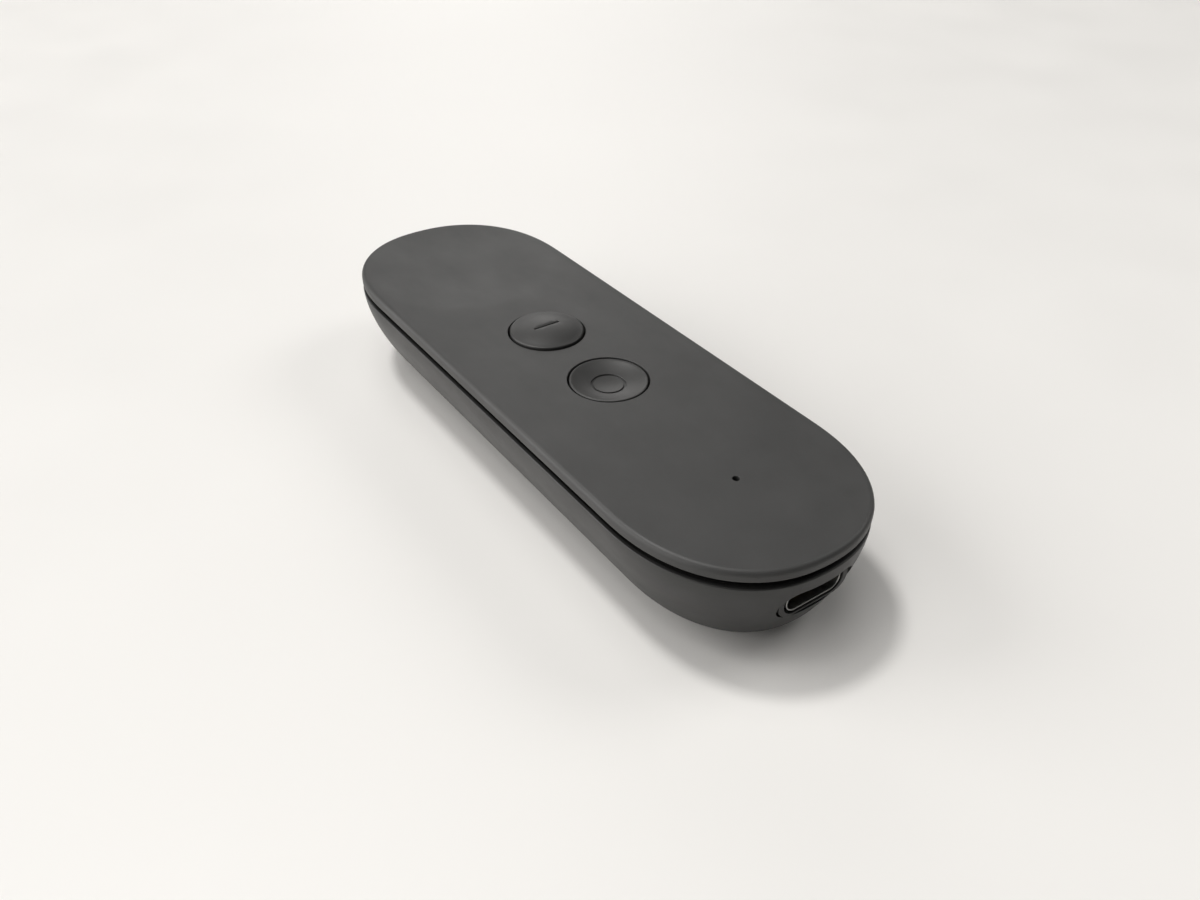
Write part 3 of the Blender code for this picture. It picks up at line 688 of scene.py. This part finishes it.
def table_finish():
    """Satin white table top with very faint clouding and a few specks."""
    colour = tuple(colours().floor)
    made = Finish("table_top", colour, 0.5)
    cloud = made.noise(0.12, detail=4.0)
    tone = made.mixed(made.between(cloud, 0.3, 0.7), shifted(colour, 0.985), shifted(colour, 1.01))
    speck = made.between(made.cells(17 * MM), 0.0, 0.012, 1.0, 0.0)
    rare = made.between(made.noise(40 * MM, detail=1.0), 0.58, 0.62, 0.0, 0.5)
    made.colour(made.mixed(made.maths("MULTIPLY", speck, rare), tone, shifted(colour, 0.35)))
    made.roughness(made.noise(30 * MM, detail=3.0), 0.48, 0.56)
    made.bump(made.noise(3 * MM, detail=2.0), 0.004 * MM)
    return made.material


def make_finish(slot, name):
    tones = colours()
    if slot == "cover_plastic":
        return moulded_plastic(name, tuple(tones.cover), 0.50, 0.11 * MM, 0.012 * MM)
    if slot == "shell_plastic":
        return moulded_plastic(name, tuple(tones.shell), 0.46, 0.13 * MM, 0.010 * MM)
    if slot == "button_plastic":
        return moulded_plastic(name, tuple(tones.button), 0.39, 0.09 * MM, 0.006 * MM)
    makers = {
        "frame_plastic": (frame_plastic, (0.010, 0.010, 0.010), 0.60),
        "circuit_board": (circuit_board, (0.006, 0.055, 0.028), 0.38),
        "chip_black": (chip_epoxy, (0.015, 0.015, 0.016), 0.50),
        # Steel colour set below clean steel's reflectance: partly painted shade for the port's shaded
        # receptacle
        "shield_steel": (brushed_metal, (0.34, 0.34, 0.33), 0.36),
        "contact_gold": (brushed_metal, (0.85, 0.62, 0.25), 0.25),
        "cell_wrap": (foil_pouch, (0.50, 0.51, 0.53), 0.38),
        "foam_grey": (open_foam, (0.09, 0.09, 0.10), 0.90),
        "flex_amber": (flex_film, (0.40, 0.16, 0.03), 0.38),
        "wire_red": (wire_insulation, (0.45, 0.02, 0.02), 0.42),
        "wire_black": (wire_insulation, (0.015, 0.015, 0.015), 0.42),
        "light_guide": (light_acrylic, (0.20, 0.21, 0.22), 0.20),
    }
    maker, colour, roughness = makers[slot]
    return maker(name, colour, roughness)


def finish(slot):
    """Detailed material of a slot, made once, beside the frame's own plain material of that name."""
    name = f"fine_{slot}"
    return bpy.data.materials.get(name) or make_finish(slot, name)


# ---------------------------------------------------------------- casings


class BuildCover(bpy.types.Operator):
    """Builds the floating cover with its touch dish, button holes and light hole"""

    bl_idname = "controller.build_cover"
    bl_label = "Touch cover"

    def execute(self, context):
        sizes, parts = casing(), face()
        top = sizes.cover_top
        bottom = top - sizes.cover_edge
        under = top - sizes.cover_plate
        lip = sizes.cover_lip

        def sunk(points, drop):
            return [(x, y, top - drop - dish_depth(x, y)) for x, y in points]

        skin = Skin()
        edge = [sunk(outline(sizes.edge_round - out), down) for out, down in quarter(sizes.edge_round, 8)]
        side = [[(x, y, bottom + up) for x, y in outline(lip - out)] for out, up in reversed(quarter(lip))]
        skirt = [[(x, y, bottom + up) for x, y in outline(sizes.skirt - out)] for out, up in quarter(lip)]
        inner = [[(x, y, under) for x, y in outline(sizes.skirt)]]
        outer, inner_edge = skin.strips(edge + side + skirt[::-1] + inner)

        holes_top, holes_under = [], []
        for center, radius, chamfer, sides in (
            (parts.app_y, parts.hole_radius, 0.12 * MM, BUTTON_SIDES),
            (parts.home_y, parts.hole_radius, 0.08 * MM, BUTTON_SIDES),
            (parts.light_y, parts.light_radius, 0.05 * MM, SMALL_SIDES),
        ):
            rings = [
                circle(radius + chamfer - out, top - down, center, sides) for out, down in quarter(chamfer)
            ]
            upper, lower = skin.strips([*rings, circle(radius, under, center, sides)])
            holes_top.append(upper)
            holes_under.append(lower)
        skin.fill(outer, holes_top, self.dish_points(sizes, parts))
        skin.fill(inner_edge, holes_under)
        add_piece("touch_cover", skin.to_mesh("touch_cover"), "touch_cover", "cover_plastic", ["top_cover"])
        return {"FINISHED"}

    @staticmethod
    def dish_points(sizes, parts):
        """Rings of points over the dish and a little beyond it, kept clear of the cover's edge."""
        spacing = 0.75 * MM
        limit = np.array(outline(sizes.edge_round + 0.5 * spacing))
        points = [(0.0, parts.pad_y)]
        for ring in range(1, DISH_RINGS + 1):
            points += [(x, y) for x, y, _ in circle(ring * spacing, 0.0, parts.pad_y, 6 * ring)]
        points = np.array(points)
        points = points[inside(points, limit)]
        return [(x, y, sizes.cover_top - dish_depth(x, y)) for x, y in points]


class BuildShell(bpy.types.Operator):
    """Builds the belly-shaped bottom shell with its port recess and key windows"""

    bl_idname = "controller.build_shell"
    bl_label = "Bottom shell"

    def execute(self, context):
        sizes = casing()
        lip = sizes.lip_round
        outer, inner = [], []
        for height in self.heights(sizes, BELLY_STEPS):
            outer.append(self.belly_level(sizes, height, 0.0))
            inner.append(self.belly_level(sizes, height, sizes.wall))
        rim = [self.level(lip - out, sizes.rim - down) for out, down in reversed(quarter(lip))]
        rim.append(self.level(sizes.rim_lip - lip, sizes.rim))
        rim += [self.level(sizes.rim_lip - lip + out, sizes.rim - down) for out, down in quarter(lip)[1:]]
        rim += [self.level(inset, sizes.rim - sizes.rim_step) for inset in (sizes.rim_lip, sizes.wall)]
        skin = Skin()
        first, last = skin.strips(outer[::-1] + rim + inner)
        skin.cap(first)
        skin.cap(last)
        mesh = carve(skin.to_mesh("bottom_casing"), [port_cutter(), *key_cutters()])
        shade_along_belly(mesh)
        add_piece("bottom_casing", mesh, "chassis", "shell_plastic", ["bottom_shell"], shaded=True)
        return {"FINISHED"}

    @staticmethod
    def heights(sizes, steps):
        """Heights from below the rim to the underside, evenly down the side and round the bottom."""
        turn = sizes.belly_round
        side = np.linspace(sizes.rim - 2 * sizes.rim_step, turn, steps, endpoint=False)
        return [*side, *(turn * (1 - math.sin(math.pi / 2 * step / steps)) for step in range(steps + 1))]

    @staticmethod
    def belly_level(sizes, height, wall):
        side, end = belly_insets(height)
        lifted = wall + (sizes.rim - wall) * height / sizes.rim
        return [(x, y, lifted) for x, y in outline(side + wall, end + wall)]

    @staticmethod
    def level(inset, height):
        return [(x, y, height) for x, y in outline(inset)]


PORT_LOW, PORT_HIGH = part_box("usb_shell")
BEZEL_LOW, BEZEL_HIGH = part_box("port_bezel")
PORT_Z = (PORT_LOW.z + PORT_HIGH.z) / 2
PORT_GAP = 0.3 * MM
PORT_CUT = (-56 * MM, -47 * MM)
KEY_CUT = (12 * MM, 20 * MM)


def port_cutter():
    width = BEZEL_HIGH.x - BEZEL_LOW.x + 2 * PORT_GAP
    height = BEZEL_HIGH.z - BEZEL_LOW.z + 2 * PORT_GAP
    points = [(x, PORT_Z + z) for x, z in pill(width, height)]
    return prism("port_recess", points, "Y", *PORT_CUT)


KEY_NAMES = ("volume_up", "volume_down")
KEY_FLANGE = 0.5 * MM


def key_place(name):
    """Middle and outer size of a volume key, from its cap in the frame."""
    low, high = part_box(f"{name}_key")
    middle = (low + high) / 2
    length = high.y - low.y - 2 * KEY_FLANGE
    height = high.z - low.z - 2 * KEY_FLANGE
    return middle.y, middle.z, length, height


def key_cutters():
    cutters = []
    for name in KEY_NAMES:
        y, z, length, height = key_place(name)
        gap = 0.5 * MM
        points = [(y + across, z + up) for across, up in pill(length + gap, height + gap)]
        cutters.append(prism(f"{name}_window", points, "X", *KEY_CUT))
    return cutters


# ---------------------------------------------------------------- buttons and keys


class BuildFaceButtons(bpy.types.Operator):
    """Builds the crowned app button with its bar and the hollow home button with its ring"""

    bl_idname = "controller.build_face_buttons"
    bl_label = "Face buttons"

    def execute(self, context):
        self.app_button()
        self.home_button()
        return {"FINISHED"}

    @staticmethod
    def lower_profile(node):
        """Flange and stem below the cap, taken from the frame's own button."""
        low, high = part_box(node)
        radius = face().button_radius
        flange_radius = (high.x - low.x) / 2
        flange_bottom, flange_top = 13.5 * MM, 14.2 * MM
        stem_radius = 2.0 * MM
        fillet = 0.2 * MM
        return [
            (radius, flange_top + fillet),
            (radius + fillet, flange_top),
            (flange_radius, flange_top),
            (flange_radius, flange_bottom),
            (stem_radius, flange_bottom),
            (stem_radius, low.z + fillet),
            (stem_radius - fillet, low.z),
        ]

    def app_button(self):
        sizes = face()
        top = casing().cover_top
        round_edge = 0.25 * MM
        reach = sizes.button_radius - round_edge

        def crown(x, y):
            share = min((x**2 + (y - sizes.app_y) ** 2) / reach**2, 1.0)
            return top + sizes.app_rise + (sizes.app_edge - sizes.app_rise) * share

        skin = Skin()
        edge = top + sizes.app_edge
        cap = [circle(reach + out, edge - down, sizes.app_y) for out, down in quarter(round_edge, 8)]
        stem = [circle(radius, height, sizes.app_y) for radius, height in self.lower_profile("app_button")]
        rim, end = skin.strips(cap + stem)
        skin.cap(end)
        bar_length, bar_width = 4.5 * MM, 0.36 * MM
        groove = []
        for narrowing, depth in ((0.0, 0.0), (0.05 * MM, 0.05 * MM), (0.07 * MM, 0.16 * MM)):
            bar = pill(bar_length - narrowing, bar_width - 2 * narrowing)
            groove.append([(x, sizes.app_y + y, crown(x, sizes.app_y + y) - depth) for x, y in bar])
        mark, mark_floor = skin.strips(groove)
        skin.cap(mark_floor)
        clear_x, clear_y = 2.6 * MM, 0.45 * MM
        points = []
        for ring in range(1, CROWN_RINGS):
            for x, y, _ in circle(reach * ring / CROWN_RINGS, 0.0, sizes.app_y, 8 * ring):
                if abs(x) >= clear_x or abs(y - sizes.app_y) >= clear_y:
                    points.append((x, y, crown(x, y)))
        skin.fill(rim, [mark], points)
        mesh = skin.to_mesh("app_button_cap")
        add_piece("app_button_cap", mesh, "app_button", "button_plastic", ["app_button"])

    def home_button(self):
        sizes = face()
        top = casing().cover_top
        edge, sunk = 0.16 * MM, 0.03 * MM
        reach = sizes.button_radius - edge
        inner, outer, depth, soft = 2.18 * MM, 2.54 * MM, 0.20 * MM, 0.04 * MM

        def hollow(radius):
            share = radius / reach
            return top - sunk - sizes.home_dip * (1 - share**2)

        floor = (0.4 * MM, 1.0 * MM, 1.6 * MM, inner - 2 * soft, inner - soft)
        profile = [(radius, hollow(radius)) for radius in floor]
        profile += [(inner, hollow(inner) - soft), (inner + soft / 2, hollow(inner) - depth)]
        profile += [(outer - soft / 2, hollow(outer) - depth), (outer, hollow(outer) - soft)]
        profile += [(outer + soft, hollow(outer + soft)), (outer + 2 * soft, hollow(outer + 2 * soft))]
        steps = 10
        for step in range(1, steps + 1):
            radius = outer + (reach - outer) * step / steps
            profile.append((radius, hollow(radius)))
        profile += [(reach + out, hollow(reach) - down) for out, down in quarter(edge)[1:]]
        profile += self.lower_profile("home_button")
        mesh = turned("home_button_cap", profile, sizes.home_y)
        add_piece("home_button_cap", mesh, "home_button", "button_plastic", ["home_button"])


class BuildVolumeKeys(bpy.types.Operator):
    """Builds the two pill-shaped keys on the right flank"""

    bl_idname = "controller.build_volume_keys"
    bl_label = "Volume keys"

    def execute(self, context):
        for name in KEY_NAMES:
            self.key(name)
        return {"FINISHED"}

    @staticmethod
    def key(name):
        """Crowned cap that follows the flank, on a shank with a flange inside the shell."""
        sizes = casing()
        node = f"{name}_key"
        low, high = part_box(node)
        y, z, length, height = key_place(name)
        proud, crown, edge = 0.25 * MM, 0.12 * MM, 0.25 * MM

        def outer(points, sink):
            placed = []
            for across, up in points:
                flank = sizes.width / 2 - float(belly_insets(z + up)[0])
                placed.append((min(flank + proud, high.x) - sink, y + across, z + up))
            return placed

        rings = []
        for grow in (0.2, 0.45, 0.7, 0.85):
            middle = pill(length - height + height * grow, height * grow)
            rings.append(outer(middle, crown * grow**2))
        for out, down in quarter(edge):
            narrowing = 2 * (edge - out)
            side = pill(length - narrowing, height - narrowing)
            rings.append(outer(side, crown * 0.8 + down))
        shank = pill(length, height)
        flange = pill(length + 2 * KEY_FLANGE, height + 2 * KEY_FLANGE)
        step = low.x + KEY_FLANGE
        for points, x in ((shank, step), (flange, step), (flange, low.x)):
            rings.append([(x, y + across, z + up) for across, up in points])
        skin = Skin()
        first, last = skin.strips(rings)
        skin.cap(first)
        skin.cap(last)
        add_piece(f"{name}_cap", skin.to_mesh(f"{name}_cap"), node, "button_plastic", [node])


# ---------------------------------------------------------------- charging port


class BuildPort(bpy.types.Operator):
    """Builds the oval surround, the steel receptacle and its tongue with contacts"""

    bl_idname = "controller.build_port"
    bl_label = "Charging port"

    def execute(self, context):
        self.surround()
        self.receptacle()
        self.tongue()
        return {"FINISHED"}

    @staticmethod
    def oval(size, grow, y):
        return [(x, y, PORT_Z + z) for x, z in pill(size.x + 2 * grow, size.z + 2 * grow)]

    def tube(self, name, size, hole, ends, edge, slot, node):
        """Oval ring between two ends, with rounded edges at its front."""
        front, back = ends
        rings = [self.oval(size, 0.0, back)]
        for out, down in reversed(quarter(edge)):
            rings.append(self.oval(size, out - edge, front + down))
        for out, down in quarter(edge):
            rings.append(self.oval(hole, edge - out, front + down))
        rings.append(self.oval(hole, 0.0, back))
        skin = Skin()
        first, last = skin.strips(rings)
        skin.stitch(last, first)
        add_piece(name, skin.to_mesh(name), "chassis", slot, [node])

    def surround(self):
        """Flat oval plate let into the shell's end, with a groove round the receptacle."""
        groove = Vector((0.38, 0.0, 0.38)) * MM
        hole = PORT_HIGH - PORT_LOW + 2 * groove
        size = BEZEL_HIGH - BEZEL_LOW
        ends = (BEZEL_LOW.y, BEZEL_HIGH.y)
        self.tube("port_surround", size, hole, ends, 0.08 * MM, "shell_plastic", "port_bezel")

    def receptacle(self):
        """Drawn steel shell with a rolled mouth."""
        size = PORT_HIGH - PORT_LOW
        sheet = 0.2 * MM
        hole = size - 2 * Vector((sheet, 0.0, sheet))
        ends = (PORT_LOW.y, PORT_HIGH.y)
        self.tube("port_receptacle", size, hole, ends, sheet / 2, "shield_steel", "usb_shell")

    def tongue(self):
        low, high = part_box("usb_tongue")
        blade_half, blade_thick = 3.35 * MM, 0.35 * MM
        base = high.y - 1.6 * MM
        blade = block(
            "tongue_blade",
            (-blade_half, low.y, PORT_Z - blade_thick),
            (blade_half, base + 0.5 * MM, PORT_Z + blade_thick),
            0.12 * MM,
        )
        points = [(x, PORT_Z + z) for x, z in pill(high.x - low.x, high.z - low.z)]
        mesh = carve(prism("tongue_base", points, "Y", base, high.y), [blade], "UNION")
        add_piece("port_tongue", mesh, "chassis", "chip_black", ["usb_tongue"])
        count, pitch, pad = 12, 0.5 * MM, 0.26 * MM
        power_pads, power_start, signal_start = (0, 3, 8, 11), 1.0 * MM, 1.35 * MM
        for side, name in ((1, "upper"), (-1, "lower")):
            shape = bmesh.new()
            for index in range(count):
                x = (index - (count - 1) / 2) * pitch
                start = power_start if index in power_pads else signal_start
                spring = block(
                    "contact",
                    (x - pad / 2, low.y + start - 0.3 * MM, PORT_Z + side * blade_thick - 0.04 * MM),
                    (x + pad / 2, base - 0.1 * MM, PORT_Z + side * blade_thick + 0.04 * MM),
                    0.02 * MM,
                    1,
                )
                shape.from_mesh(spring)
            mesh = bpy.data.meshes.new(f"contacts_{name}")
            shape.to_mesh(mesh)
            shape.free()
            add_piece(f"contacts_{name}", mesh, "chassis", "contact_gold", ["usb_contacts"])


# ---------------------------------------------------------------- frame finishes


class FinishFrame(bpy.types.Operator):
    """Gives every frame part that stays in view its own finish"""

    bl_idname = "controller.finish_frame"
    bl_label = "Inner parts"

    def execute(self, context):
        for part in frame["record"]["subparts"]:
            shown = frame["nodes"][part["node"]]
            if shown.hide_render:
                continue
            shown.data.materials.clear()
            shown.data.materials.append(finish(part["material_slot"]))
        return {"FINISHED"}


# ---------------------------------------------------------------- stage


class BuildStage(bpy.types.Operator):
    """Sets the table, the room's light, the lamps and the camera"""

    bl_idname = "controller.build_stage"
    bl_label = "Stage"

    def execute(self, context):
        settings = context.scene.controller_stage
        self.table()
        self.room(settings)
        for name, heading, height, power, size in LAMPS:
            self.lamp(name, math.radians(heading), math.radians(height), power, size, settings.lamp_distance)
        self.camera(settings)
        context.scene.view_settings.view_transform = "Standard"
        return {"FINISHED"}

    @staticmethod
    def table():
        shape = bmesh.new()
        bmesh.ops.create_grid(shape, x_segments=8, y_segments=8, size=TABLE_REACH)
        mesh = bpy.data.meshes.new("table")
        shape.to_mesh(mesh)
        shape.free()
        mesh.materials.append(table_finish())
        table = bpy.data.objects.new("table", mesh)
        bpy.context.scene.collection.objects.link(table)

    @staticmethod
    def room(settings):
        world = bpy.data.worlds.new("room")
        world.use_nodes = True
        background = world.node_tree.nodes["Background"]
        background.inputs["Color"].default_value = (*colours().daylight, 1.0)
        background.inputs["Strength"].default_value = settings.room_strength
        bpy.context.scene.world = world

    @staticmethod
    def lamp(name, heading, height, power, size, distance):
        light = bpy.data.lights.new(name, "AREA")
        light.shape = "DISK"
        light.size = size
        light.energy = power
        light.color = colours().daylight
        lamp = bpy.data.objects.new(name, light)
        level = Vector((math.sin(heading), math.cos(heading), 0.0)) * math.cos(height)
        lamp.location = distance * (level + Vector((0.0, 0.0, math.sin(height))))
        lamp.rotation_euler = (-lamp.location).to_track_quat("-Z", "Y").to_euler()
        bpy.context.scene.collection.objects.link(lamp)

    @staticmethod
    def camera(settings):
        heading, dip, roll = settings.heading, settings.dip, settings.roll
        forward = Vector(
            (math.sin(heading) * math.cos(dip), math.cos(heading) * math.cos(dip), -math.sin(dip))
        )
        level = Vector((math.cos(heading), -math.sin(heading), 0.0))
        right = level * math.cos(roll) + level.cross(forward) * math.sin(roll)
        up = right.cross(forward)
        data = bpy.data.cameras.new("camera")
        data.sensor_width = 36.0
        data.lens = settings.lens
        data.clip_start = 5 * MM
        data.clip_end = 20.0
        camera = bpy.data.objects.new("camera", data)
        turn = Matrix((right, up, -forward)).transposed().to_4x4()
        camera.matrix_world = Matrix.Translation(settings.eye) @ turn
        bpy.context.scene.collection.objects.link(camera)
        bpy.context.scene.camera = camera


# ---------------------------------------------------------------- add-on


class ControllerPanel(bpy.types.Panel):
    """Sizes, colours and build steps of the controller"""

    bl_idname = "VIEW3D_PT_controller"
    bl_label = "Motion controller"
    bl_space_type = "VIEW_3D"
    bl_region_type = "UI"
    bl_category = "Controller"

    def draw(self, context):
        for title, group in (
            ("Casing", context.scene.controller_casing),
            ("Face", context.scene.controller_face),
            ("Colours", context.scene.controller_colours),
            ("Stage", context.scene.controller_stage),
        ):
            box = self.layout.box()
            box.label(text=title)
            for name in group.__annotations__:
                box.prop(group, name)
        column = self.layout.column(align=True)
        for step in STEPS:
            column.operator(step.bl_idname)


GROUPS = {
    "controller_casing": CasingSizes,
    "controller_face": FaceSizes,
    "controller_colours": Colours,
    "controller_stage": StageSettings,
}
STEPS = (BuildCover, BuildShell, BuildFaceButtons, BuildVolumeKeys, BuildPort, FinishFrame, BuildStage)


def register():
    for made in (*GROUPS.values(), *STEPS, ControllerPanel):
        bpy.utils.register_class(made)
    for name, group in GROUPS.items():
        setattr(bpy.types.Scene, name, PointerProperty(type=group))


def unregister():
    for name in GROUPS:
        delattr(bpy.types.Scene, name)
    for made in reversed((*GROUPS.values(), *STEPS, ControllerPanel)):
        bpy.utils.unregister_class(made)


def main():
    register()
    for step in STEPS:
        family, action = step.bl_idname.split(".")
        getattr(getattr(bpy.ops, family), action)()


if __name__ == "__main__":
    main()
